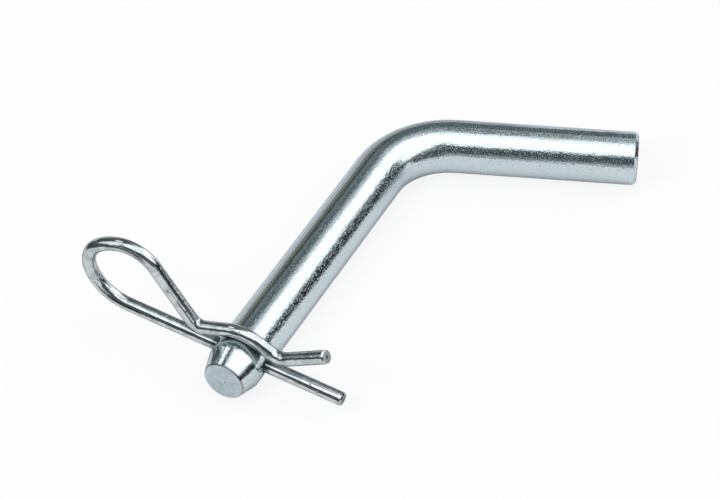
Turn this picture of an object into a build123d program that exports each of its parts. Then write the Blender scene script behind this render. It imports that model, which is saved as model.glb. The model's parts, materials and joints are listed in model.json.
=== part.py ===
"""Bent hitch pin with its spring clip, as it lies on a bench.

The pin is one round steel bar: a turned nose, a straight shank, one bend and a plain grip leg.
The clip is one piece of spring wire: its straight leg passes through the cross hole near the
nose, and its other leg is formed to snap over the outside of the shank.

Millimetres. The origin is the middle of the nose's end face. +Y runs along the shank towards
the bend, +X is the side that the grip leg turns to, and +Z is up. The shank and the grip leg
both lie in the plane Z = 0, so the bar rests on the surface one bar radius below it.
"""

import os
from math import cos, radians, sin

from build123d import *

# ---------------------------------------------------------------- bent bar
bar_diameter = 15.875  # 5/8 in
shank_length = 93.5  # nose face to the start of the bend
bend_radius = 23.8  # to the bar's centreline
bend_angle = 68.0  # how far the grip leg turns away from the shank's line
grip_length = 54.0  # straight leg beyond the bend
grip_end_chamfer = 1.0

nose_length = 6.0
nose_face_diameter = 12.1
nose_rim_radius = 0.3  # soft edge round the end face
nose_blend_radius = 1.5  # where the taper runs out into the shank
facing_pip_diameter = 1.0  # the small point that facing leaves at the centre
facing_pip_height = 0.12

hole_from_nose = 11.0
hole_clearance = 1.0  # the hole's diameter over the wire's
hole_edge_break = 0.25
hole_clocking = 4.3  # the drilled hole's slope, about the shank, against the bend's plane

# ---------------------------------------------------------------- spring clip
wire_diameter = 4.0
seat_gap = 0.1  # between the wire and the bar where the sprung clip bears on it
clip_lean = 5.6  # the clip's slight lean towards the nose, about its straight leg
wire_end_chamfer = 0.4

leg_reach = 31.7  # shank's centreline to the straight leg's free end
heel_radius = 12.6  # the loop, from the straight leg round its far end
back_radius = 16.5
back_turn = 35.8
crown_radius = 9.4
crown_turn = 70.5
strand_slope = 55.4  # the strand that comes down from the loop to the neck

neck_radius = 3.4
neck_gap = 0.6  # between the neck and the straight leg
ramp_angle = 26.0  # how far the seat wraps the bar on the neck's side
front_angle = 25.3  # and on the tail's side
shoulder_length = 4.7
valley_radius = 5.6
tail_angle = 37.0  # the flared tail's slope away from the straight leg
tail_length = 14.9

# ---------------------------------------------------------------- what follows from them
bar_radius = bar_diameter / 2
wire_radius = wire_diameter / 2
hole_radius = (wire_diameter + hole_clearance) / 2

# The hole's plane faces the nose: its X is the hole's axis and its Y points up.
hole_turn = Location((0, 0, 0), (0, 0, -hole_clocking))
hole_plane = Plane.XZ.offset(-hole_from_nose).moved(hole_turn)

# The spring pulls the straight leg up against the wall of its hole.
leg_lift = hole_radius - wire_radius - seat_gap
clip_plane = hole_plane.moved(Location((0, leg_lift, 0), (clip_lean, 0, 0)))

# The leaning plane cuts the shank a little taller than round.
lean_factor = cos(radians(clip_lean))
seat_radius = (bar_radius + wire_radius + seat_gap) / lean_factor
seat_centre = (0, -leg_lift / lean_factor)


def climb(radius, heading, turn):
    """Height gained on an arc that leaves at a heading and turns left, both in degrees."""
    return radius * (cos(radians(heading)) - cos(radians(heading + turn)))


# The ramp brings the neck down to its gap above the straight leg.
neck_height = wire_diameter + neck_gap
ramp_top = seat_centre[1] + seat_radius * cos(radians(ramp_angle))
ramp_drop = ramp_top - neck_height - climb(neck_radius, 0, ramp_angle)
ramp_length = ramp_drop / sin(radians(ramp_angle))

# The strand is as long as it takes for the loop to come back in line with the straight leg.
crown_heading = 180 - strand_slope
back_heading = crown_heading + crown_turn
heel_heading = back_heading + back_turn
heel_turn = 360 - heel_heading
loop_climb = (
    climb(crown_radius, crown_heading, crown_turn)
    + climb(back_radius, back_heading, back_turn)
    + climb(heel_radius, heel_heading, heel_turn)
)
strand_foot = neck_height + climb(neck_radius, 0, strand_slope)
strand_length = -(strand_foot + loop_climb) / sin(radians(strand_slope))

# ---------------------------------------------------------------- bent_pin
with BuildPart() as bent_pin:
    # The turned nose and the straight shank are one profile about the shank's axis.
    with BuildSketch() as shank_profile:
        with BuildLine():
            Polyline(
                (0, -facing_pip_height),
                (facing_pip_diameter / 2, 0),
                (nose_face_diameter / 2, 0),
                (bar_radius, nose_length),
                (bar_radius, shank_length),
                (0, shank_length),
                close=True,
            )
        make_face()
        rim = shank_profile.vertices().sort_by_distance((nose_face_diameter / 2, 0))[0]
        fillet(rim, nose_rim_radius)
        run_out = shank_profile.vertices().sort_by_distance((bar_radius, nose_length))[0]
        fillet(run_out, nose_blend_radius)
    revolve(axis=Axis.Y)

    # The bend turns the bar's section about an axis beside the end of the shank.
    bend_axis = Axis((bend_radius, shank_length, 0), (0, 0, -1))
    bend_start = Plane((0, shank_length, 0), x_dir=(1, 0, 0), z_dir=(0, 1, 0))
    with BuildSketch(bend_start):
        Circle(bar_radius)
    revolve(axis=bend_axis, revolution_arc=bend_angle)

    # The grip leg runs straight on from the end of the bend.
    grip_start = Plane(
        origin=(
            bend_radius * (1 - cos(radians(bend_angle))),
            shank_length + bend_radius * sin(radians(bend_angle)),
            0,
        ),
        x_dir=(0, 0, 1),
        z_dir=(sin(radians(bend_angle)), cos(radians(bend_angle)), 0),
    )
    with BuildSketch(grip_start):
        Circle(bar_radius)
    extrude(amount=grip_length)
    grip_end = bent_pin.faces().sort_by_distance(grip_start.offset(grip_length).origin)[0]
    chamfer(grip_end.edges(), grip_end_chamfer)

    # The cross hole for the clip, deburred where it breaks through.
    with BuildSketch(Plane(hole_plane.origin, z_dir=hole_plane.x_dir)):
        Circle(hole_radius)
    extrude(amount=bar_diameter, both=True, mode=Mode.SUBTRACT)
    cut_faces = bent_pin.faces(Select.LAST).filter_by(GeomType.CYLINDER)
    hole_wall = cut_faces.sort_by_distance(hole_plane.origin)[0]
    chamfer(hole_wall.edges(), hole_edge_break)

bent_pin.part.label = "bent_pin"

# ---------------------------------------------------------------- spring_clip
with BuildPart() as spring_clip:
    with BuildLine(clip_plane) as wire_line:
        # The seat is an arc over the bar, from the tail's side to the neck's.
        seat = CenterArc(seat_centre, seat_radius, 90 - front_angle, front_angle + ramp_angle)

        # From the seat's far end: down to the neck, up the strand and round the loop.
        ramp = PolarLine(seat @ 1, ramp_length, direction=seat % 1)
        neck = JernArc(ramp @ 1, ramp % 1, neck_radius, -(ramp_angle + strand_slope))
        strand = PolarLine(neck @ 1, strand_length, direction=neck % 1)
        crown = JernArc(strand @ 1, strand % 1, crown_radius, crown_turn)
        back = JernArc(crown @ 1, crown % 1, back_radius, back_turn)
        heel = JernArc(back @ 1, back % 1, heel_radius, heel_turn)
        leg = Line(heel @ 1, (leg_reach, 0))

        # From the seat's near end: down its shoulder, round the valley and out to the tail.
        shoulder = PolarLine(seat @ 0, shoulder_length, direction=(seat % 0) * -1)
        valley = JernArc(shoulder @ 1, shoulder % 1, valley_radius, front_angle + tail_angle)
        tail = PolarLine(valley @ 1, tail_length, direction=valley % 1)
    with BuildSketch(Plane(leg @ 1, z_dir=leg % 1)):
        Circle(wire_radius)
    sweep(path=wire_line.wires()[0])
    wire_ends = spring_clip.faces().filter_by(GeomType.PLANE)
    chamfer(wire_ends.edges(), wire_end_chamfer)

spring_clip.part.label = "spring_clip"

# ---------------------------------------------------------------- files
os.makedirs("parts", exist_ok=True)
export_step(bent_pin.part, "parts/bent_pin.step")
export_step(spring_clip.part, "parts/spring_clip.step")
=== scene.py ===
"""Bent hitch pin with its spring clip: plated finishes, a formed wire, studio and camera."""

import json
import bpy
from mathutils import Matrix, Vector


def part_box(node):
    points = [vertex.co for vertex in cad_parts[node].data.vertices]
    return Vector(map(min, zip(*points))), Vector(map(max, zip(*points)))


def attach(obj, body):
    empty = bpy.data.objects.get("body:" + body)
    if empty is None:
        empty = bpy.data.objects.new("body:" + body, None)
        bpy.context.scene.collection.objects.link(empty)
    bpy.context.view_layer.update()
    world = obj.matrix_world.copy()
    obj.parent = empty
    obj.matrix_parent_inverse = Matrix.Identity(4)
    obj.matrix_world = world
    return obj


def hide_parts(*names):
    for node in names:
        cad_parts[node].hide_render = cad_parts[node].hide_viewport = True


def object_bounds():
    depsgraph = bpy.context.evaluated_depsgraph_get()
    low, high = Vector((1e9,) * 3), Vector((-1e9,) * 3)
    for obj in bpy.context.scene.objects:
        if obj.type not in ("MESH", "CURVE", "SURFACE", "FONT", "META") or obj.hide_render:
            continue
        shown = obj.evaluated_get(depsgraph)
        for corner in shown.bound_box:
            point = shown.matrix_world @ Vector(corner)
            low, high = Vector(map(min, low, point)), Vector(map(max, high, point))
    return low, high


bl_info = {
    "name": "Bent Hitch Pin",
    "version": (1, 0, 0),
    "blender": (4, 5, 0),
    "location": "3D View > Sidebar > Hitch Pin",
    "description": "Finishes, spring clip and studio for a bent hitch pin",
    "category": "Object",
}

from functools import cache, reduce
from math import acos, ceil, cos, degrees, pi, radians, sin, tan

import bpy
from mathutils import Matrix, Vector

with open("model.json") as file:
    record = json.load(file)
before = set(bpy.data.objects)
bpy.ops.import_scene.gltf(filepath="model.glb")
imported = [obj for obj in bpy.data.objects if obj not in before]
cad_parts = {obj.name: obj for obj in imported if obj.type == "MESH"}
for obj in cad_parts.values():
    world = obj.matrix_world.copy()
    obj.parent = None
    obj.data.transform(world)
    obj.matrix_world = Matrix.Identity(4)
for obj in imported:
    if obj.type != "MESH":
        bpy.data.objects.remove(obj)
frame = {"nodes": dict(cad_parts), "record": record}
CAD_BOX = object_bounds()
MM = 0.001

# ---------------------------------------------------------------- the bar
# Sizes that the frame doesn't hold.
NOSE_FACE_RADIUS = 6.05 * MM
HOLE_FROM_NOSE = 11.0 * MM
HOLE_RADIUS = 2.5 * MM
HOLE_CLOCKING = radians(4.3)  # the cross hole's slope against the bend's plane
GRIP_END_CHAMFER = 1.0 * MM

# The two straight legs, from the frame's mounts.
MOUNTS = {mount["name"]: mount for mount in frame["record"]["mounts"]}
SHANK = MOUNTS["shank"]
GRIP_LEG = MOUNTS["grip_leg"]
BAR_RADIUS = SHANK["dims"]["r_mm"] * MM
GRIP_AXIS = Vector(GRIP_LEG["axis"])
GRIP_MIDDLE = Vector(GRIP_LEG["pos_m"])
GRIP_HALF = GRIP_AXIS * (GRIP_LEG["dims"]["length_mm"] * MM / 2)
GRIP_END = GRIP_MIDDLE + GRIP_HALF + GRIP_AXIS * GRIP_END_CHAMFER

# The bend between them.
CORNER = GRIP_MIDDLE - GRIP_AXIS * (GRIP_MIDDLE.x / GRIP_AXIS.x)  # where the two legs' axes cross
BEND_TANGENT = (GRIP_MIDDLE - GRIP_HALF - CORNER).length
BEND_ANGLE = acos(GRIP_AXIS.y)
BEND_RADIUS = BEND_TANGENT / tan(BEND_ANGLE / 2)
SHANK_LENGTH = CORNER.y - BEND_TANGENT

FLOOR_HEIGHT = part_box("bent_pin")[0].z


# ---------------------------------------------------------------- settings
class PinFinish(bpy.types.PropertyGroup):
    """The bar's zinc plating and its turned end faces."""

    colour: bpy.props.FloatVectorProperty(
        name="Zinc", description="Colour of the plating on the bar",
        subtype="COLOR", size=3, min=0, max=1, default=(0.60, 0.70, 0.74))
    roughness: bpy.props.FloatProperty(
        name="Roughness", description="Softness of the bar's reflections",
        subtype="FACTOR", min=0, max=1, default=0.095)
    grain_size: bpy.props.FloatProperty(
        name="Grain size", description="Spacing of the plating's fine grain",
        unit="LENGTH", min=0.05 * MM, max=5 * MM, default=0.50 * MM)
    grain_depth: bpy.props.FloatProperty(
        name="Grain depth", description="Height of the fine grain",
        unit="LENGTH", min=0, max=0.2 * MM, default=0.046 * MM)
    crystal_depth: bpy.props.FloatProperty(
        name="Crystal depth", description="Height of the plating's raised crystals",
        unit="LENGTH", min=0, max=0.2 * MM, default=0.018 * MM)
    mottle_size: bpy.props.FloatProperty(
        name="Mottle size", description="Spacing of the bar's broad unevenness",
        unit="LENGTH", min=0.2 * MM, max=20 * MM, default=3.2 * MM)
    mottle_depth: bpy.props.FloatProperty(
        name="Mottle depth", description="Height of the broad unevenness",
        unit="LENGTH", min=0, max=0.5 * MM, default=0.075 * MM)


class ClipShape(bpy.types.PropertyGroup):
    """The spring wire and the line that it is formed to."""

    wire_radius: bpy.props.FloatProperty(
        name="Wire radius", description="Half the wire's thickness",
        unit="LENGTH", min=0.5 * MM, max=5 * MM, default=2.0 * MM)
    end_chamfer: bpy.props.FloatProperty(
        name="End chamfer", description="Chamfer on the wire's two ends",
        unit="LENGTH", min=0, max=1 * MM, default=0.4 * MM)
    hole_from_nose: bpy.props.FloatProperty(
        name="Hole from nose", description="Nose face to the middle of the cross hole",
        unit="LENGTH", min=5 * MM, max=50 * MM, default=HOLE_FROM_NOSE)
    hole_radius: bpy.props.FloatProperty(
        name="Hole radius", description="Half the cross hole's width",
        unit="LENGTH", min=1 * MM, max=5 * MM, default=HOLE_RADIUS)
    hole_clocking: bpy.props.FloatProperty(
        name="Hole clocking", description="Slope of the cross hole against the bend's plane",
        subtype="ANGLE", unit="ROTATION", default=HOLE_CLOCKING)
    lean: bpy.props.FloatProperty(
        name="Lean", description="The clip's lean towards the nose, about its straight leg",
        subtype="ANGLE", unit="ROTATION", default=radians(5.6))
    seat_gap: bpy.props.FloatProperty(
        name="Seat gap", description="Between the wire and the bar that it bears on",
        unit="LENGTH", min=0, max=1 * MM, default=0.1 * MM)
    leg_reach: bpy.props.FloatProperty(
        name="Leg reach", description="From the shank's middle to the straight leg's free end",
        unit="LENGTH", min=10 * MM, max=80 * MM, default=31.7 * MM)
    heel_radius: bpy.props.FloatProperty(
        name="Heel radius", description="The loop's bend next to the straight leg",
        unit="LENGTH", min=3 * MM, max=50 * MM, default=12.6 * MM)
    back_radius: bpy.props.FloatProperty(
        name="Back radius", description="The loop's flat back",
        unit="LENGTH", min=3 * MM, max=50 * MM, default=16.5 * MM)
    back_turn: bpy.props.FloatProperty(
        name="Back turn", description="How far the loop's back turns",
        subtype="ANGLE", unit="ROTATION", default=radians(35.8))
    crown_radius: bpy.props.FloatProperty(
        name="Crown radius", description="The loop's upper bend",
        unit="LENGTH", min=3 * MM, max=50 * MM, default=9.4 * MM)
    crown_turn: bpy.props.FloatProperty(
        name="Crown turn", description="How far the loop's upper bend turns",
        subtype="ANGLE", unit="ROTATION", default=radians(70.5))
    strand_slope: bpy.props.FloatProperty(
        name="Strand slope", description="Slope of the strand that comes down to the neck",
        subtype="ANGLE", unit="ROTATION", default=radians(55.4))
    neck_radius: bpy.props.FloatProperty(
        name="Neck radius", description="The tight bend where the clip nearly closes",
        unit="LENGTH", min=2 * MM, max=20 * MM, default=3.4 * MM)
    neck_gap: bpy.props.FloatProperty(
        name="Neck gap", description="Between the neck and the straight leg",
        unit="LENGTH", min=0, max=5 * MM, default=0.6 * MM)
    ramp_angle: bpy.props.FloatProperty(
        name="Ramp angle", description="How far the seat wraps the bar on the neck's side",
        subtype="ANGLE", unit="ROTATION", default=radians(26))
    front_angle: bpy.props.FloatProperty(
        name="Front angle", description="How far the seat wraps the bar on the tail's side",
        subtype="ANGLE", unit="ROTATION", default=radians(25.3))
    shoulder_length: bpy.props.FloatProperty(
        name="Shoulder length", description="From the seat to the valley",
        unit="LENGTH", min=1 * MM, max=20 * MM, default=4.7 * MM)
    valley_radius: bpy.props.FloatProperty(
        name="Valley radius", description="The bend before the tail",
        unit="LENGTH", min=2 * MM, max=20 * MM, default=5.6 * MM)
    tail_angle: bpy.props.FloatProperty(
        name="Tail angle", description="Slope of the tail away from the straight leg",
        subtype="ANGLE", unit="ROTATION", default=radians(37))
    tail_length: bpy.props.FloatProperty(
        name="Tail length", description="Straight part of the tail",
        unit="LENGTH", min=2 * MM, max=50 * MM, default=14.9 * MM)


class ClipFinish(bpy.types.PropertyGroup):
    """The spring wire's smoother plating."""

    colour: bpy.props.FloatVectorProperty(
        name="Zinc", description="Colour of the plating on the wire",
        subtype="COLOR", size=3, min=0, max=1, default=(0.62, 0.665, 0.665))
    roughness: bpy.props.FloatProperty(
        name="Roughness", description="Softness of the wire's reflections",
        subtype="FACTOR", min=0, max=1, default=0.11)
    grain_size: bpy.props.FloatProperty(
        name="Grain size", description="Spacing of the wire's fine grain",
        unit="LENGTH", min=0.05 * MM, max=5 * MM, default=0.7 * MM)
    grain_depth: bpy.props.FloatProperty(
        name="Grain depth", description="Height of the wire's fine grain",
        unit="LENGTH", min=0, max=0.1 * MM, default=0.020 * MM)
    mottle_size: bpy.props.FloatProperty(
        name="Mottle size", description="Spacing of the wire's broad unevenness",
        unit="LENGTH", min=0.2 * MM, max=20 * MM, default=2.6 * MM)
    mottle_depth: bpy.props.FloatProperty(
        name="Mottle depth", description="Height of the broad unevenness",
        unit="LENGTH", min=0, max=0.5 * MM, default=0.08 * MM)


class StudioSettings(bpy.types.PropertyGroup):
    """The floor, the lights and the camera."""

    paper: bpy.props.FloatVectorProperty(
        name="Paper", description="Colour of the floor",
        subtype="COLOR", size=3, min=0, max=1, default=(0.77, 0.77, 0.77))
    brightness: bpy.props.FloatProperty(
        name="Soft boxes", description="Brightness of the soft boxes, where 1 is white paper",
        min=0, max=10, default=1.72)
    lamp_power: bpy.props.FloatProperty(
        name="Paper lamp", description="Power of the lamp that lights the paper",
        unit="POWER", min=0, max=500, default=3)
    distance: bpy.props.FloatProperty(
        name="Camera distance", description="Camera to the point it looks at",
        unit="LENGTH", min=0.1, max=10, default=0.8647)
    azimuth: bpy.props.FloatProperty(
        name="Azimuth", description="Turn of the camera about the object, from looking along +Y",
        subtype="ANGLE", unit="ROTATION", default=radians(27.21))
    elevation: bpy.props.FloatProperty(
        name="Elevation", description="How far the camera looks down",
        subtype="ANGLE", unit="ROTATION", default=radians(44.81))
    roll: bpy.props.FloatProperty(
        name="Roll", description="Turn of the camera about its own line of sight",
        subtype="ANGLE", unit="ROTATION", default=radians(0.34))
    lens: bpy.props.FloatProperty(
        name="Lens", description="Focal length on a 36 mm sensor, in millimetres",
        min=10, max=500, default=150)


# ---------------------------------------------------------------- node helpers
def connect(tree, node, inputs):
    """Sets a node's inputs, by name or number, to values or to other nodes' outputs."""
    for name, value in inputs.items():
        if isinstance(value, bpy.types.NodeSocket):
            tree.links.new(value, node.inputs[name])
        else:
            node.inputs[name].default_value = value


def add_node(tree, kind, inputs=None, **settings):
    """A new node with settings on itself and values or links on its inputs."""
    node = tree.nodes.new(kind)
    for name, value in settings.items():
        setattr(node, name, value)
    connect(tree, node, inputs or {})
    return node


def calculate(tree, operation, *values):
    """The output of one Math node."""
    return add_node(tree, "ShaderNodeMath", dict(enumerate(values)), operation=operation).outputs[0]


def product(tree, *values):
    """Values multiplied together."""
    return reduce(lambda first, second: calculate(tree, "MULTIPLY", first, second), values)


def total(tree, *values):
    """Values added together."""
    return reduce(lambda first, second: calculate(tree, "ADD", first, second), values)


def ramp(tree, value, low, high, to_low=0.0, to_high=1.0):
    """A smooth step from one value to another between two limits."""
    limits = {"Value": value, "From Min": low, "From Max": high, "To Min": to_low, "To Max": to_high}
    node = add_node(tree, "ShaderNodeMapRange", limits, interpolation_type="SMOOTHSTEP")
    return node.outputs["Result"]


def fall(tree, value, low, high):
    """A smooth step from 1 down to 0 between two limits."""
    return ramp(tree, value, low, high, 1.0, 0.0)


def noise(tree, vector, size, detail=2.0, roughness=0.5):
    """Noise with features of about a size in metres."""
    scale = calculate(tree, "DIVIDE", 1.0, size)
    inputs = {"Vector": vector, "Scale": scale, "Detail": detail, "Roughness": roughness}
    return add_node(tree, "ShaderNodeTexNoise", inputs).outputs["Fac"]


def split(tree, vector):
    """A vector's X, Y and Z."""
    return add_node(tree, "ShaderNodeSeparateXYZ", {"Vector": vector}).outputs


def mapped(tree, vector, **change):
    """A vector after a change of its Location, Rotation or Scale."""
    return add_node(tree, "ShaderNodeMapping", {"Vector": vector, **change}).outputs["Vector"]


def distance_from_axis(tree, across, up):
    """How far a point is from an axis, from its two coordinates square to that axis."""
    flat = add_node(tree, "ShaderNodeCombineXYZ", {"X": across, "Y": up}).outputs["Vector"]
    return add_node(tree, "ShaderNodeVectorMath", {0: flat}, operation="LENGTH").outputs["Value"]


def mix_colour(tree, factor, first, second):
    """The second colour laid over the first."""
    return add_node(tree, "ShaderNodeMix", {0: factor, 6: first, 7: second}, data_type="RGBA").outputs[2]


def lay_over(tree, colour, layers):
    """Layers of (mask, colour) laid over a colour, one after another."""
    for mask, layer in layers:
        colour = mix_colour(tree, mask, colour, layer)
    return colour


def new_group(name, inputs, outputs):
    """A new node group, the sockets it is given and the node that takes what it makes.

    Inputs are {name: (socket kind, default)} and outputs are {name: socket kind}.
    """
    group = bpy.data.node_groups.new(name, "ShaderNodeTree")
    for label, (kind, default) in inputs.items():
        socket = group.interface.new_socket(label, in_out="INPUT", socket_type=kind)
        if default is not None:
            socket.default_value = default
    for label, kind in outputs.items():
        group.interface.new_socket(label, in_out="OUTPUT", socket_type=kind)
    return group, group.nodes.new("NodeGroupInput").outputs, group.nodes.new("NodeGroupOutput")


# ---------------------------------------------------------------- shared effects
def along_bar_group():
    """Straightens the bent bar: X across, Z up and Y along it, from the nose to the grip's end."""
    group, given, made = new_group(
        "along_bar", {"Vector": ("NodeSocketVector", None)}, {"Vector": "NodeSocketVector"})
    place = split(group, given["Vector"])
    across = calculate(group, "SUBTRACT", BEND_RADIUS, place["X"])
    along = calculate(group, "SUBTRACT", place["Y"], SHANK_LENGTH)
    turn = calculate(group, "MAXIMUM", calculate(group, "ARCTAN2", along, across), 0.0)
    turn = calculate(group, "MINIMUM", turn, BEND_ANGLE)
    bend_middle = (BEND_RADIUS, SHANK_LENGTH, 0)
    straight = add_node(group, "ShaderNodeVectorRotate", {
        "Vector": given["Vector"], "Center": bend_middle, "Axis": (0, 0, 1), "Angle": turn})
    unbent = split(group, straight.outputs["Vector"])
    reach = total(group, unbent["Y"], product(group, turn, BEND_RADIUS))
    joined = add_node(group, "ShaderNodeCombineXYZ", {"X": unbent["X"], "Y": reach, "Z": unbent["Z"]})
    connect(group, made, {"Vector": joined.outputs["Vector"]})
    return group


def plating_group():
    """Uneven zinc: fine grain, drawing lines, a broad mottle and raised frosty crystals.

    Y is the direction of drawing, along which all but the crystals are stretched.
    """
    group, given, made = new_group(
        "zinc_plating",
        {
            "Vector": ("NodeSocketVector", None),
            "Grain Size": ("NodeSocketFloat", 0.6 * MM),
            "Grain Depth": ("NodeSocketFloat", 0.05 * MM),
            "Line Depth": ("NodeSocketFloat", 0.01 * MM),
            "Mottle Size": ("NodeSocketFloat", 3 * MM),
            "Mottle Depth": ("NodeSocketFloat", 0.1 * MM),
            "Crystal Depth": ("NodeSocketFloat", 0.01 * MM),
        },
        {"Height": "NodeSocketFloat", "Mottle": "NodeSocketFloat", "Frost": "NodeSocketFloat"},
    )
    drawn = mapped(group, given["Vector"], Scale=(1, 0.6, 1))
    lined = mapped(group, given["Vector"], Scale=(1, 0.07, 1))
    elsewhere = mapped(group, given["Vector"], Location=(0.3, 0.1, 0.2))
    crystal_size = product(group, given["Grain Size"], 0.8)

    grain = noise(group, drawn, given["Grain Size"], 1.5, 0.6)
    lines = noise(group, lined, given["Grain Size"], 2.0, 0.6)
    mottle = noise(group, drawn, given["Mottle Size"], 1.0, 0.5)
    frost = ramp(group, noise(group, elsewhere, crystal_size, 1.0), 0.56, 0.68)

    fine = product(group, grain, given["Grain Depth"])
    ridges = product(group, lines, given["Line Depth"])
    broad = product(group, mottle, given["Mottle Depth"])
    raised = product(group, frost, given["Crystal Depth"])
    height = total(group, fine, ridges, total(group, broad, raised))
    connect(group, made, {"Height": height, "Mottle": mottle, "Frost": frost})
    return group


def turned_face_group():
    """The rings that a facing tool leaves, with masks of the face and its rim.

    The vector has the face's middle at its origin and its axis along Z.
    """
    group, given, made = new_group(
        "turned_face",
        {
            "Vector": ("NodeSocketVector", None),
            "Radius": ("NodeSocketFloat", 6 * MM),
            "Ring Spacing": ("NodeSocketFloat", 0.9 * MM),
            "Ring Depth": ("NodeSocketFloat", 0.022 * MM),
        },
        {
            "Face": "NodeSocketFloat",
            "Height": "NodeSocketFloat",
            "Ring": "NodeSocketFloat",
            "Rim": "NodeSocketFloat",
        },
    )
    place = split(group, given["Vector"])
    radius = distance_from_axis(group, place["X"], place["Y"])
    reach = calculate(group, "DIVIDE", radius, given["Radius"])
    depth = calculate(group, "ABSOLUTE", place["Z"])
    face = product(group, fall(group, depth, 0.13 * MM, 0.20 * MM), fall(group, reach, 0.95, 0.98))
    from_rim = calculate(group, "ABSOLUTE", calculate(group, "SUBTRACT", reach, 1.0))
    rim = product(group, fall(group, from_rim, 0.015, 0.05), fall(group, depth, 0.4 * MM, 0.7 * MM))

    # Noise keeps the rings from being true circles.
    wander = product(group, noise(group, given["Vector"], 3.5 * MM, 2.0), 3.0 * MM)
    turns = calculate(group, "DIVIDE", total(group, radius, wander), given["Ring Spacing"])
    rings = calculate(group, "SINE", product(group, turns, 2 * pi))
    connect(group, made, {
        "Face": face,
        "Height": product(group, rings, given["Ring Depth"], face),
        "Ring": product(group, ramp(group, rings, -1.0, 1.0), face),
        "Rim": rim,
    })
    return group


def pits_group():
    """Sparse tiny pits: a few cells of a coarse pattern each hold one."""
    group, given, made = new_group(
        "pits",
        {
            "Vector": ("NodeSocketVector", None),
            "Spacing": ("NodeSocketFloat", 3 * MM),
            "Size": ("NodeSocketFloat", 0.3 * MM),
            "Share": ("NodeSocketFloat", 0.3),
        },
        {"Pit": "NodeSocketFloat"},
    )
    scale = calculate(group, "DIVIDE", 1.0, given["Spacing"])
    cells = add_node(group, "ShaderNodeTexVoronoi", {"Vector": given["Vector"], "Scale": scale}).outputs
    edge = calculate(group, "DIVIDE", given["Size"], given["Spacing"])
    spot = fall(group, cells["Distance"], product(group, edge, 0.5), edge)
    draw = add_node(group, "ShaderNodeSeparateColor", {"Color": cells["Color"]}).outputs["Red"]
    chosen = calculate(group, "LESS_THAN", draw, given["Share"])
    connect(group, made, {"Pit": product(group, spot, chosen)})
    return group


@cache
def shared_groups():
    """The shared node groups, built the first time that a material asks for one."""
    return {
        "along_bar": along_bar_group(),
        "plating": plating_group(),
        "turned_face": turned_face_group(),
        "pits": pits_group(),
    }


def use_group(tree, name, inputs):
    """The outputs of a shared group placed in a tree."""
    return add_node(tree, "ShaderNodeGroup", inputs, node_tree=shared_groups()[name]).outputs


# ---------------------------------------------------------------- colours of shades and marks
BAR_MOTTLE = (0.62, 0.71, 0.75, 1)
BAR_FROST = (0.50, 0.58, 0.62, 1)
BORE_SHADE = (0.07, 0.08, 0.08, 1)
# Painted light on top of the bar by the clip: a pale arc that is a painted reflection, and dark teal
# that is painted shade with the wire's painted reflection.
PAINTED_PALE_ARC = (0.34, 0.45, 0.46, 1)
CLIP_PAINTED_SHADE = (0.12, 0.165, 0.17, 1)
TURNED_SATIN = (0.40, 0.49, 0.55, 1)
GRIP_RIM = (0.20, 0.21, 0.26, 1)
# A painted shadow and a painted highlight at the pip in the middle of the nose face.
PIP_PAINTED_SHADOW = (0.22, 0.26, 0.27, 1)
PIP_PAINTED_HIGHLIGHT = (0.80, 0.86, 0.87, 1)
NOSE_RIM = (0.13, 0.13, 0.13, 1)
NOSE_RIM_WORN = (0.34, 0.28, 0.22, 1)

WIRE_MOTTLE = (0.46, 0.51, 0.53, 1)
# Painted shade on the wire where it bears on the bar.
WIRE_PAINTED_SHADE = (0.13, 0.18, 0.18, 1)
WIRE_RIM = (0.16, 0.15, 0.14, 1)
SHEARED_STEEL = (0.36, 0.40, 0.40, 1)
TORN_STEEL = (0.06, 0.055, 0.05, 1)
PIT = (0.06, 0.05, 0.045, 1)

# Painted shade towards the outline at a glancing view, partly standing for the zinc's own duller
# reflection there.
GLANCING_SHADE = (0.12, 0.12, 0.135, 1)
GLANCING_TINT = (0.72, 0.73, 0.77, 1)


# ---------------------------------------------------------------- materials
def new_material(name):
    """An empty node material and its tree."""
    material = bpy.data.materials.new(name)
    material.use_nodes = True
    material.node_tree.nodes.clear()
    return material, material.node_tree


def zinc_plating(tree, vector, finish, line_depth=0.0, crystal_depth=0.0):
    """The plating group with a finish's own grain and mottle."""
    return use_group(tree, "plating", {
        "Vector": vector,
        "Grain Size": finish.grain_size,
        "Grain Depth": finish.grain_depth,
        "Line Depth": line_depth,
        "Mottle Size": finish.mottle_size,
        "Mottle Depth": finish.mottle_depth,
        "Crystal Depth": crystal_depth,
    })


def turned_face(tree, vector, middle, axis, radius):
    """The turned-face group, centred on a face and turned so that the face's axis is its Z."""
    centred = mapped(tree, vector, Location=[-value for value in middle])
    turn = Vector(axis).to_track_quat("Z", "Y").inverted().to_euler()
    at_face = mapped(tree, centred, Rotation=turn)
    return use_group(tree, "turned_face", {"Vector": at_face, "Radius": radius})


def disc(tree, vector, middle, radius):
    """1 near a point and 0 beyond a radius round it."""
    away = add_node(tree, "ShaderNodeVectorMath", {0: vector, 1: middle}, operation="DISTANCE")
    return fall(tree, away.outputs["Value"], 0.3 * radius, radius)


def distance_from_hole(tree, vector):
    """How far a point is from the cross hole's axis."""
    turn = Matrix.Rotation(HOLE_CLOCKING, 3, "Y").to_euler()
    place = split(tree, mapped(tree, vector, Rotation=turn))
    along = calculate(tree, "SUBTRACT", place["Y"], HOLE_FROM_NOSE)
    return distance_from_axis(tree, along, place["Z"])


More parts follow.
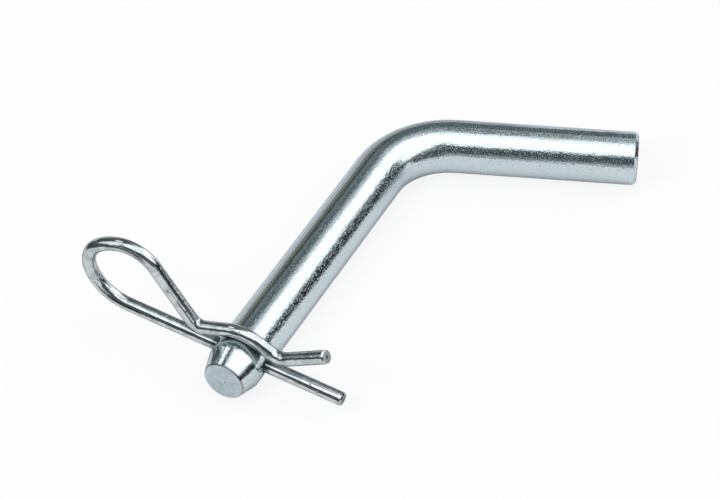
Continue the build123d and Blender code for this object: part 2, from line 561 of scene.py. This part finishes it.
def finish_metal(tree, colour, roughness, height, outline_shade_from, metallic=1.0):
    """The metal shader and the output.

    The metal's colour darkens towards its outline at a glancing view: painted shade, which partly stands
    for the zinc's own duller reflection there.
    The argument after the height is where that starts, as Layer Weight's Facing, which is 0 where the
    surface faces the viewer and 1 at its outline.
    """
    facing = add_node(tree, "ShaderNodeLayerWeight", {"Blend": 0.5}).outputs["Facing"]
    outline_shade = ramp(tree, facing, outline_shade_from, 0.96, 0.0, 0.75)
    bump = add_node(tree, "ShaderNodeBump", {"Height": height, "Strength": 1.0, "Distance": 1.0})
    shader = add_node(tree, "ShaderNodeBsdfPrincipled", {
        "Base Color": mix_colour(tree, outline_shade, colour, GLANCING_SHADE),
        "Metallic": metallic,
        "Roughness": roughness,
        "Normal": bump.outputs["Normal"],
        "Specular Tint": GLANCING_TINT,
    })
    add_node(tree, "ShaderNodeOutputMaterial", {"Surface": shader.outputs["BSDF"]})


def bar_unevenness(tree, side, face):
    """How much of the plating's unevenness the bar shows.

    The turned faces, the nose's taper and the shank's side away from the grip are smoother.
    """
    on_face = ramp(tree, face, 0.0, 1.0, 1.0, 0.35)
    on_side = ramp(tree, side["X"], -3.5 * MM, -0.5 * MM, 0.7, 0.0)
    smooth_side = product(tree, on_side, fall(tree, side["Y"], 92 * MM, 112 * MM))
    on_nose = ramp(tree, side["Y"], 5 * MM, 8 * MM, 0.55, 1.0)
    return product(tree, on_face, calculate(tree, "SUBTRACT", 1.0, smooth_side), on_nose)


def clip_painted_shading(tree, side):
    """Masks of painted light on top of the bar, in front of the clip and under it: a pale arc that is a
    painted reflection, and dark teal that is painted shade with the wire's painted reflection.

    Their front edges bow: they come nearer to the nose face at the bar's sides.
    """
    bow = 45.0  # how sharply the edges curve, per metre
    reach = total(tree, side["Y"], product(tree, calculate(tree, "POWER", side["X"], 2.0), bow))
    on_top = ramp(tree, side["Z"], 4.2 * MM, 4.9 * MM)
    by_clip = product(tree, on_top, fall(tree, side["Y"], 12.5 * MM, 14.0 * MM))
    painted_arc_front = ramp(tree, reach, 7.7 * MM, 8.1 * MM, 0.0, 0.7)
    painted_arc = product(tree, painted_arc_front, fall(tree, reach, 8.5 * MM, 8.8 * MM), by_clip)
    painted_contact_shade = product(tree, ramp(tree, reach, 8.5 * MM, 9.1 * MM, 0.0, 0.85), by_clip)
    return painted_arc, painted_contact_shade


def turned_satin(tree, place, side, face, rings):
    """Mask of the satin look of the turned faces: cloudy, stronger along the nose's rings."""
    clouds = ramp(tree, noise(tree, place, 1.8 * MM, 3.0), 0.36, 0.64, 0.16, 0.62)
    cloudy = product(tree, clouds, ramp(tree, side["X"], -5.5 * MM, -3.0 * MM, 0.3, 1.0))
    return total(tree, product(tree, face, cloudy), product(tree, rings, 0.18))


def nose_rim_and_pip_shading(tree, place, side, nose):
    """Layers for a painted shadow and a painted highlight at the pip in the middle of the nose face, and
    for the rim, worn brown on one side.
    """
    # A painted shadow and a painted highlight at the pip.
    pip_painted_shadow = disc(tree, place, (0.5 * MM, 0, 0), 0.6 * MM)
    pip_painted_highlight = disc(tree, place, (-0.2 * MM, 0, 0), 0.7 * MM)
    worn = mix_colour(tree, ramp(tree, side["X"], 4.4 * MM, 5.8 * MM), NOSE_RIM, NOSE_RIM_WORN)
    return [
        (product(tree, nose["Face"], pip_painted_shadow, 0.8), PIP_PAINTED_SHADOW),
        (product(tree, nose["Face"], pip_painted_highlight, 0.8), PIP_PAINTED_HIGHLIGHT),
        (product(tree, nose["Rim"], 0.8), worn),
    ]


def zinc_bar_material(finish):
    """Bright zinc plating on drawn bar, satin and ringed on the two turned end faces."""
    material, tree = new_material("zinc_plated_bar")
    place = add_node(tree, "ShaderNodeTexCoord").outputs["Object"]
    along = use_group(tree, "along_bar", {"Vector": place})["Vector"]
    side = split(tree, along)
    line_depth = 0.010 * MM
    plating = zinc_plating(tree, along, finish, line_depth, finish.crystal_depth)
    nose = turned_face(tree, place, (0, 0, 0), SHANK["axis"], NOSE_FACE_RADIUS)
    end = turned_face(tree, place, GRIP_END, GRIP_AXIS, BAR_RADIUS - GRIP_END_CHAMFER)
    face = calculate(tree, "MAXIMUM", nose["Face"], end["Face"])

    uneven = bar_unevenness(tree, side, face)
    rings = total(tree, nose["Height"], end["Height"])
    height = total(tree, product(tree, plating["Height"], uneven), rings)

    # Painted reflection and painted shade on top of the bar, in front of the clip and under it.
    painted_arc, painted_contact_shade = clip_painted_shading(tree, side)
    from_hole = distance_from_hole(tree, place)
    in_bore = ramp(tree, from_hole, HOLE_RADIUS + 0.02 * MM, HOLE_RADIUS + 0.12 * MM, 0.85, 0.0)
    colour = lay_over(tree, (*finish.colour, 1), [
        (ramp(tree, plating["Mottle"], 0.35, 0.65), BAR_MOTTLE),
        (product(tree, plating["Frost"], 0.5), BAR_FROST),
        (painted_arc, PAINTED_PALE_ARC),
        (painted_contact_shade, CLIP_PAINTED_SHADE),
        (in_bore, BORE_SHADE),
        (turned_satin(tree, place, side, face, nose["Ring"]), TURNED_SATIN),
        (product(tree, end["Rim"], 0.85), GRIP_RIM),
        *nose_rim_and_pip_shading(tree, place, side, nose),
    ])
    frost = product(tree, plating["Frost"], uneven, 0.18)
    roughness = total(tree, product(tree, face, 0.26), total(tree, finish.roughness, frost))
    # The painted arc and the painted shade are partly matte, so that their painted colour shows.
    painted_matte = total(tree, product(tree, painted_arc, 0.8), product(tree, painted_contact_shade, 0.25))
    metallic = calculate(tree, "SUBTRACT", 1.0, painted_matte)
    finish_metal(tree, colour, roughness, height, 0.80, metallic)
    return material


def sheared_ends(tree, place, shape):
    """Masks of the wire's two end faces, of their rims and of the torn middle of each."""
    face_radius = shape.wire_radius - shape.end_chamfer
    torn_radius = 0.26 * shape.wire_radius
    faces, rims, torn = [], [], []
    for middle, outward in wire_ends(shape):
        end = turned_face(tree, place, middle, outward, face_radius)
        faces.append(end["Face"])
        rims.append(end["Rim"])
        torn.append(turned_face(tree, place, middle, outward, torn_radius)["Face"])
    return [calculate(tree, "MAXIMUM", *masks) for masks in (faces, rims, torn)]


def zinc_wire_material(finish, shape):
    """Smooth bright zinc plating on spring wire, with a few pits and sheared ends."""
    material, tree = new_material("zinc_plated_wire")
    place = add_node(tree, "ShaderNodeTexCoord").outputs["Object"]
    plating = zinc_plating(tree, place, finish)
    pits = {"Vector": place, "Spacing": 2.4 * MM, "Size": 0.42 * MM, "Share": 0.24}
    pit = use_group(tree, "pits", pits)["Pit"]
    pit_depth = 0.05 * MM
    height = calculate(tree, "SUBTRACT", plating["Height"], product(tree, pit, pit_depth))

    face, rim, torn = sheared_ends(tree, place, shape)
    coarse = ramp(tree, noise(tree, place, 0.5 * MM), 0.4, 0.6, 0.1, 0.7)
    space = split(tree, place)
    from_shank = distance_from_axis(tree, space["X"], space["Z"])
    # Painted shade on the wire near the bar that it bears on.
    painted_contact_shade = ramp(tree, from_shank, BAR_RADIUS + 0.8 * MM, BAR_RADIUS + 2.2 * MM, 0.8, 0.0)
    colour = lay_over(tree, (*finish.colour, 1), [
        (ramp(tree, plating["Mottle"], 0.44, 0.62), WIRE_MOTTLE),
        (product(tree, pit, 0.8), PIT),
        (product(tree, face, coarse), SHEARED_STEEL),
        (product(tree, torn, 0.85), TORN_STEEL),
        (product(tree, rim, 0.6), WIRE_RIM),
        (painted_contact_shade, WIRE_PAINTED_SHADE),
    ])
    frost = product(tree, plating["Frost"], 0.12)
    rough = total(tree, frost, product(tree, pit, 0.3), product(tree, face, 0.4))
    finish_metal(tree, colour, total(tree, finish.roughness, rough), height, 0.50)
    return material


# ---------------------------------------------------------------- the spring clip's wire
WIRE_FACETS = 72  # round the wire
BEND_STEP = 2  # degrees of a bend in one step


def clip_plane(shape):
    """The plane that the clip is formed in: X along the straight leg, Y up, its origin on that leg."""
    tilt = Matrix.Rotation(shape.hole_clocking, 4, "Y")
    facing = Matrix(((1, 0, 0, 0), (0, 0, -1, shape.hole_from_nose), (0, 1, 0, 0), (0, 0, 0, 1)))
    lift = Matrix.Translation((0, leg_lift(shape), 0))
    return tilt @ facing @ lift @ Matrix.Rotation(shape.lean, 4, "X")


def leg_lift(shape):
    """How far the spring pulls the straight leg up, towards the wall of its hole."""
    return shape.hole_radius - shape.wire_radius - shape.seat_gap


def climb(radius, heading, turn):
    """Height gained on an arc that leaves at a heading and turns left."""
    return radius * (cos(heading) - cos(heading + turn))


def step(point, heading, size, turn):
    """Where a straight (turn 0) or an arc of a radius ends, its heading there and the arc's centre."""
    if not turn:
        return point + size * Vector((cos(heading), sin(heading), 0)), heading, None
    side = 1 if turn > 0 else -1
    centre = point + side * size * Vector((-sin(heading), cos(heading), 0))
    return centre + Matrix.Rotation(turn, 3, "Z") @ (point - centre), heading + turn, centre


def clip_line(shape):
    """The wire's line from the tail to the straight leg: where it starts, its heading and its runs.

    A run is a radius and a turn for a bend, or a length and no turn.
    """
    lean_factor = cos(shape.lean)
    seat_radius = (BAR_RADIUS + shape.wire_radius + shape.seat_gap) / lean_factor
    seat_centre = Vector((0, -leg_lift(shape) / lean_factor, 0))

    neck_height = 2 * shape.wire_radius + shape.neck_gap
    ramp_top = seat_centre.y + seat_radius * cos(shape.ramp_angle)
    ramp_drop = ramp_top - neck_height - climb(shape.neck_radius, 0, shape.ramp_angle)
    ramp_length = ramp_drop / sin(shape.ramp_angle)

    crown_heading = pi - shape.strand_slope
    back_heading = crown_heading + shape.crown_turn
    heel_heading = back_heading + shape.back_turn
    heel_turn = 2 * pi - heel_heading
    loop_climb = (climb(shape.crown_radius, crown_heading, shape.crown_turn)
                  + climb(shape.back_radius, back_heading, shape.back_turn)
                  + climb(shape.heel_radius, heel_heading, heel_turn))
    strand_foot = neck_height + climb(shape.neck_radius, 0, shape.strand_slope)
    strand_length = -(strand_foot + loop_climb) / sin(shape.strand_slope)

    # From the seat's near end out to the tail's free end, to find where the line starts.
    point = seat_centre + seat_radius * Vector((sin(shape.front_angle), cos(shape.front_angle), 0))
    heading = -shape.front_angle
    valley_turn = shape.front_angle + shape.tail_angle
    point, heading, _ = step(point, heading, shape.shoulder_length, 0)
    point, heading, _ = step(point, heading, shape.valley_radius, valley_turn)
    point, heading, _ = step(point, heading, shape.tail_length, 0)

    runs = [
        (shape.tail_length, 0),
        (shape.valley_radius, -valley_turn),
        (shape.shoulder_length, 0),
        (seat_radius, shape.front_angle + shape.ramp_angle),
        (ramp_length, 0),
        (shape.neck_radius, -(shape.ramp_angle + shape.strand_slope)),
        (strand_length, 0),
        (shape.crown_radius, shape.crown_turn),
        (shape.back_radius, shape.back_turn),
        (shape.heel_radius, heel_turn),
    ]
    return point, heading + pi, runs


def wire_ends(shape):
    """The middle of each end face and the way it faces: the tail's, then the straight leg's."""
    plane = clip_plane(shape)
    turning = plane.to_3x3()
    tail_end, heading, _ = clip_line(shape)
    leg_end = Vector((shape.leg_reach, 0, 0))
    tail_way = Vector((-cos(heading), -sin(heading), 0))
    leg_way = Vector((1, 0, 0))
    return (plane @ tail_end, turning @ tail_way), (plane @ leg_end, turning @ leg_way)


def grow_ring(plane, point, heading, size, turn):
    """Carries the selected ring of edges along one run and returns where it gets to."""
    end, end_heading, centre = step(point, heading, size, turn)
    turning = plane.to_3x3()
    if centre is None:
        bpy.ops.mesh.extrude_region_move(TRANSFORM_OT_translate={"value": turning @ (end - point)})
    else:
        axis = turning @ Vector((0, 0, -1 if turn > 0 else 1))
        steps = ceil(abs(degrees(turn)) / BEND_STEP)
        bpy.ops.mesh.spin(steps=steps, angle=abs(turn), center=plane @ centre, axis=axis)
    return end, end_heading


def chamfer_step(plane, point, heading, length, scale):
    """Carries the ring on by a short length and widens or narrows it."""
    end, heading = grow_ring(plane, point, heading, length, 0)
    bpy.ops.transform.resize(value=(scale,) * 3, center_override=plane @ end)
    return end, heading


def model_wire(shape):
    """One ring of edges, carried along the clip's line and closed at both ends."""
    plane = clip_plane(shape)
    point, heading, runs = clip_line(shape)
    narrow = shape.wire_radius - shape.end_chamfer
    onward = plane.to_3x3() @ Vector((cos(heading), sin(heading), 0))
    bpy.ops.object.select_all(action="DESELECT")
    bpy.ops.mesh.primitive_circle_add(
        vertices=WIRE_FACETS, radius=narrow, fill_type="NOTHING",
        location=plane @ point, rotation=onward.to_track_quat("Z", "Y").to_euler())
    wire = bpy.context.object
    wire.name = wire.data.name = "formed_wire"
    bpy.ops.object.mode_set(mode="EDIT")

    # The tail starts with its chamfer, which is part of its length.
    point, heading = chamfer_step(plane, point, heading, shape.end_chamfer, shape.wire_radius / narrow)
    runs[0] = (shape.tail_length - shape.end_chamfer, 0)
    for size, turn in runs:
        point, heading = grow_ring(plane, point, heading, size, turn)

    # The straight leg runs on to its reach and ends with its own chamfer.
    leg_length = shape.leg_reach - point.x - shape.end_chamfer
    point, heading = grow_ring(plane, point, heading, leg_length, 0)
    chamfer_step(plane, point, heading, shape.end_chamfer, narrow / shape.wire_radius)

    bpy.ops.mesh.select_all(action="SELECT")
    bpy.ops.mesh.fill_holes(sides=0)
    bpy.ops.mesh.normals_make_consistent(inside=False)
    bpy.ops.object.mode_set(mode="OBJECT")
    bpy.ops.object.transform_apply(location=True, rotation=True, scale=True)
    bpy.ops.object.shade_smooth_by_angle(angle=radians(30))
    return wire


# ---------------------------------------------------------------- studio pieces
LOOK_AT = Vector((9.64 * MM, 63.23 * MM, 0))  # the point that the camera is aimed at


def sheet_material(name, colour, soft_edges):
    """A glowing sheet whose edges fade out.

    The soft edges are shares of its width and of its height, each at the low and the high end.
    """
    material, tree = new_material(name)
    run = split(tree, add_node(tree, "ShaderNodeUVMap").outputs["UV"])
    fades = []
    for value, (low, high) in zip((run["X"], run["Y"]), soft_edges):
        if low:
            fades.append(ramp(tree, value, 0.0, low))
        if high:
            fades.append(fall(tree, value, 1.0 - high, 1.0))
    clear = add_node(tree, "ShaderNodeBsdfTransparent")
    glow = add_node(tree, "ShaderNodeEmission", {"Color": (*colour, 1), "Strength": 1.0})
    mix = add_node(tree, "ShaderNodeMixShader", {
        0: product(tree, 1.0, *fades), 1: clear.outputs["BSDF"], 2: glow.outputs["Emission"]})
    add_node(tree, "ShaderNodeOutputMaterial", {"Surface": mix.outputs["Shader"]})
    return material


def sky_point(middle, azimuth, elevation, distance):
    """The point at a direction from the middle: azimuth from +Y towards +X, in degrees."""
    turn, lift = radians(azimuth), radians(elevation)
    return middle + distance * Vector((sin(turn) * cos(lift), cos(turn) * cos(lift), sin(lift)))


def add_sheet(name, distance, colour, azimuths, lows, highs, soft_sides, soft_ends):
    """A curved studio sheet round the object, seen from it between two azimuths, in degrees.

    Its lower and upper edges, lows and highs, are elevations, each at the first and the second
    azimuth. The soft sides (first, second) and ends (lower, upper) are how far the edges fade.
    """
    middle = Vector(((CAD_BOX[0].x + CAD_BOX[1].x) / 2, (CAD_BOX[0].y + CAD_BOX[1].y) / 2, 0))
    bpy.ops.object.select_all(action="DESELECT")
    bpy.ops.mesh.primitive_grid_add(x_subdivisions=24, y_subdivisions=16, size=1, calc_uvs=True)
    sheet = bpy.context.object
    sheet.name = sheet.data.name = name
    for vertex in sheet.data.vertices:
        across, up = vertex.co.x + 0.5, vertex.co.y + 0.5
        low = lows[0] + across * (lows[1] - lows[0])
        high = highs[0] + across * (highs[1] - highs[0])
        azimuth = azimuths[0] + across * (azimuths[1] - azimuths[0])
        vertex.co = sky_point(middle, azimuth, low + up * (high - low), distance)
    width = azimuths[1] - azimuths[0]
    height = (sum(highs) - sum(lows)) / 2
    soft_edges = ([soft / width for soft in soft_sides], [soft / height for soft in soft_ends])
    sheet.data.materials.append(sheet_material(name, colour, soft_edges))
    sheet.visible_camera = False
    # A card that stands on the paper is for the metal alone, and neither lights nor shades the paper.
    on_paper = distance < 1
    sheet.visible_diffuse = sheet.visible_shadow = not on_paper


def white(brightness):
    """A neutral glow, where 1 is as bright as white paper."""
    return (brightness,) * 3


def grey(brightness):
    """The cool dark grey of a studio's unlit side."""
    return (0.80 * brightness, 1.0 * brightness, 1.03 * brightness)


def add_dark_surround():
    """Black cloth round the table, from the horizon up, which the metal needs to look like metal."""
    far = 2.9
    add_sheet("right_cloth", far, grey(0.02), (18, 104), (-0.5, -0.5), (80, 80), (8, 8), (1.5, 4))
    add_sheet("front_cloth", far, grey(0.10), (96, 214), (0, 0), (80, 80), (8, 8), (9, 4))
    add_sheet("left_cloth", far, grey(0.10), (206, 306), (-1, -1), (80, 80), (8, 8), (4, 4))
    add_sheet("back_cloth", far, grey(0.15), (-62, 26), (1, 1), (84, 84), (8, 8), (9, 4))


def add_soft_boxes(brightness):
    """The soft boxes over and beside the object, and a window on its left."""
    near = 2.5
    glow = white(brightness)
    top_glow = white(0.85 * brightness)
    window_glow = white(0.7 * brightness)
    add_sheet("back_soft_box", near, glow, (-3, 40), (9, 3), (90, 90), (6, 6), (6, 0))
    add_sheet("right_soft_box", near, glow, (33, 59), (29, 29), (90, 90), (6, 6), (5, 0))
    add_sheet("side_soft_box", near, glow, (54, 88), (17, 21), (90, 90), (6, 0), (7, 0))
    add_sheet("corner_soft_box", near, glow, (88, 122), (20, 45), (90, 90), (0, 0), (8, 0))
    add_sheet("front_soft_box", near, glow, (122, 258), (49, 25), (90, 90), (0, 8), (13, 0))
    add_sheet("top_soft_box", near, top_glow, (254, 357), (69, 66), (90, 90), (0, 0), (12, 0))
    add_sheet("left_soft_box", near, glow, (-94, -70), (38, 38), (58, 58), (5, 4), (4, 4))
    add_sheet("window", 2.45, window_glow, (-141, -100), (1, 1), (62, 62), (5, 9), (4, 5))


def add_glows():
    """Fainter light that reaches the cloth beside the soft boxes, and a dim shelf at the back left."""
    between = 2.7
    add_sheet("ceiling_glow", between, white(0.8), (-30, -1), (40, 40), (74, 74), (27, 0), (8, 4))
    add_sheet("right_glow", between, white(0.10), (34, 56), (18, 18), (34, 34), (4, 4), (4, 0))
    add_sheet("corner_glow", between, white(0.30), (56, 130), (6, 28), (30, 60), (4, 4), (8, 0))
    add_sheet("back_glow", between, white(0.28), (-66, -32), (29, 29), (38, 38), (4, 4), (3, 3))
    add_sheet("wooden_edge", 2.6, (0.27, 0.24, 0.17), (-62, -40), (8, 8), (20, 20), (2, 2), (3, 3))
    add_sheet("under_shelf", 2.6, grey(0.06), (-66, -36), (19, 19), (28, 28), (2, 2), (2, 3))
    add_sheet("front_glow", between, white(0.40), (138, 190), (0, 0), (17, 17), (10, 8), (0, 9))


def add_cards():
    """Small cards that stand close by, with their lower edges on the paper or just under it."""
    add_sheet("right_low_card", 0.102, grey(0.02), (168, 184), (-4.4, -4.4), (3, 3), (4, 5), (0, 2))
    add_sheet("left_low_card", 0.102, grey(0.02), (206, 219), (-4.4, -4.4), (3, 3), (4, 7), (0, 2))
    add_sheet("front_card", 0.14, grey(0.11), (192, 262), (-3.3, -3.3), (14, 14), (5, 8), (0, 4))
    add_sheet("back_card", 0.10, white(0.54), (-95, 5), (-4.4, -4.4), (7, 7), (8, 8), (0, 3))
    add_sheet("right_card", 0.24, grey(0.02), (34, 58), (-2.3, -2.3), (9, 9), (4, 1), (0, 3))
    add_sheet("white_card", 0.24, white(1.25), (60, 76), (-2.3, -2.3), (8, 8), (1, 2), (0, 2))
    add_sheet("side_card", 0.24, grey(0.06), (78, 134), (-2.3, -2.3), (9, 9), (2, 7), (0, 3))


def add_paper_lamp(power):
    """A lamp at the front left that only the paper needs: the metal doesn't mirror it."""
    bpy.ops.object.select_all(action="DESELECT")
    place = sky_point(Vector((0, 0, 0)), azimuth=-155, elevation=45, distance=0.9)
    bpy.ops.object.light_add(type="AREA", location=place)
    lamp = bpy.context.object
    lamp.name = lamp.data.name = "paper_lamp"
    lamp.rotation_euler = lamp.location.to_track_quat("Z", "Y").to_euler()
    lamp.data.shape = "DISK"
    lamp.data.size = 0.3
    lamp.data.energy = power
    lamp.visible_glossy = False


def paper_material(colour):
    """Paper that the camera and the metal see partly as plain white, which keeps its shadows light."""
    material, tree = new_material("paper")
    paper = add_node(tree, "ShaderNodeBsdfDiffuse", {"Color": (*colour, 1)})
    plain = add_node(tree, "ShaderNodeEmission", {"Color": (1, 1, 1, 1), "Strength": 1.0})
    ray = add_node(tree, "ShaderNodeLightPath").outputs
    seen = product(tree, ray["Is Camera Ray"], 0.86)
    by_metal = calculate(tree, "MAXIMUM", ray["Is Glossy Ray"], ray["Is Transmission Ray"])
    plain_share = calculate(tree, "MAXIMUM", seen, product(tree, by_metal, 0.1))
    mix = add_node(tree, "ShaderNodeMixShader", {
        0: plain_share, 1: paper.outputs["BSDF"], 2: plain.outputs["Emission"]})
    add_node(tree, "ShaderNodeOutputMaterial", {"Surface": mix.outputs["Shader"]})
    return material


def add_floor(settings):
    """White paper under the object."""
    bpy.ops.object.select_all(action="DESELECT")
    bpy.ops.mesh.primitive_plane_add(size=12, location=(0, 0, FLOOR_HEIGHT))
    floor = bpy.context.object
    floor.name = floor.data.name = "paper_floor"
    floor.data.materials.append(paper_material(settings.paper))


def add_world():
    """Plain white surroundings."""
    world = bpy.data.worlds.new("white_room")
    world.use_nodes = True
    background = world.node_tree.nodes["Background"]
    connect(world.node_tree, background, {"Color": (1, 1, 1, 1), "Strength": 1.0})
    bpy.context.scene.world = world


def add_camera(settings, target):
    """A long lens looking down at the object."""
    turn, lift = settings.azimuth, settings.elevation
    sight = Vector((-sin(turn) * cos(lift), cos(turn) * cos(lift), -sin(lift)))
    facing = sight.to_track_quat("-Z", "Y").to_matrix() @ Matrix.Rotation(settings.roll, 3, "Z")
    bpy.ops.object.camera_add()
    camera = bpy.context.object
    camera.name = "camera"
    camera.matrix_world = Matrix.Translation(target - sight * settings.distance) @ facing.to_4x4()
    camera.data.lens = settings.lens
    camera.data.sensor_width = 36
    bpy.context.scene.camera = camera


# ---------------------------------------------------------------- operators
class HITCHPIN_OT_bent_pin(bpy.types.Operator):
    """Give the bar its zinc plating and turned end faces"""

    bl_idname = "hitchpin.bent_pin"
    bl_label = "Bent Pin"

    def execute(self, context):
        material = zinc_bar_material(context.scene.pin_finish)
        for slot in frame["nodes"]["bent_pin"].material_slots:
            slot.material = material
        return {"FINISHED"}


class HITCHPIN_OT_spring_clip(bpy.types.Operator):
    """Form the spring clip's wire and give it its smooth zinc plating"""

    bl_idname = "hitchpin.spring_clip"
    bl_label = "Spring Clip"

    def execute(self, context):
        scene = context.scene
        wire = model_wire(scene.clip_shape)
        wire.data.materials.append(zinc_wire_material(scene.clip_finish, scene.clip_shape))
        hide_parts("spring_clip")
        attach(wire, "root")
        return {"FINISHED"}


class HITCHPIN_OT_studio(bpy.types.Operator):
    """Set up the floor, the soft boxes, the cloth, the cards and the camera"""

    bl_idname = "hitchpin.studio"
    bl_label = "Studio"

    def execute(self, context):
        settings = context.scene.studio_settings
        add_world()
        add_floor(settings)
        add_dark_surround()
        add_glows()
        add_cards()
        add_soft_boxes(settings.brightness)
        add_paper_lamp(settings.lamp_power)
        add_camera(settings, LOOK_AT)
        return {"FINISHED"}


class HITCHPIN_PT_panel(bpy.types.Panel):
    """The steps that dress the hitch pin"""

    bl_label = "Hitch Pin"
    bl_space_type = "VIEW_3D"
    bl_region_type = "UI"
    bl_category = "Hitch Pin"

    def draw(self, context):
        for operator in OPERATORS:
            self.layout.operator(operator.bl_idname)


SETTINGS = {
    "pin_finish": PinFinish,
    "clip_shape": ClipShape,
    "clip_finish": ClipFinish,
    "studio_settings": StudioSettings,
}
OPERATORS = (HITCHPIN_OT_bent_pin, HITCHPIN_OT_spring_clip, HITCHPIN_OT_studio)
CLASSES = (*SETTINGS.values(), *OPERATORS, HITCHPIN_PT_panel)


def register():
    for cls in CLASSES:
        bpy.utils.register_class(cls)
    for name, group in SETTINGS.items():
        setattr(bpy.types.Scene, name, bpy.props.PointerProperty(type=group))


def unregister():
    for name in SETTINGS:
        delattr(bpy.types.Scene, name)
    for cls in reversed(CLASSES):
        bpy.utils.unregister_class(cls)


def main():
    register()
    bpy.ops.hitchpin.bent_pin()
    bpy.ops.hitchpin.spring_clip()
    bpy.ops.hitchpin.studio()
    bpy.context.scene.view_settings.view_transform = "Standard"


if __name__ == "__main__":
    main()
